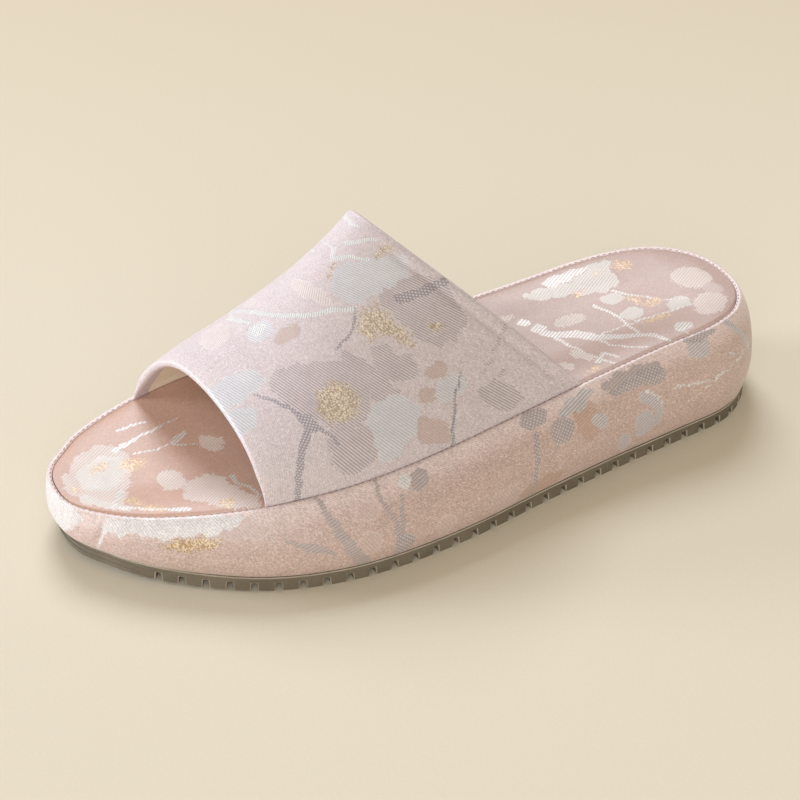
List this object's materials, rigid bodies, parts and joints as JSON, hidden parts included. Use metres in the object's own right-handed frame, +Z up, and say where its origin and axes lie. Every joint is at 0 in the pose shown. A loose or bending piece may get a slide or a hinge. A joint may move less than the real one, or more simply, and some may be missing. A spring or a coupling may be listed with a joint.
{
  "type": "platform slide sandal",
  "caption": "Left platform slide sandal with a wide padded brocade band over a wrapped, rounded platform, a dished insole and a lugged rubber outsole; toe and heel are open.",
  "frame": {"origin": "on the floor under the middle of the sandal's box", "axes": "+Z up, the toe towards -Y, the outer side of the left foot towards +X"},
  "size_m": [0.1057, 0.266, 0.0987],
  "materials": {
    "outsole_rubber": "matte",
    "platform_brocade": "satin brocade",
    "insole_brocade": "satin brocade",
    "upper_brocade": "satin brocade"
  },
  "bodies": {
    "root": {"outsole": "outsole_rubber", "platform": "platform_brocade", "insole": "insole_brocade", "upper": "upper_brocade"}
  },
  "joints": []
}
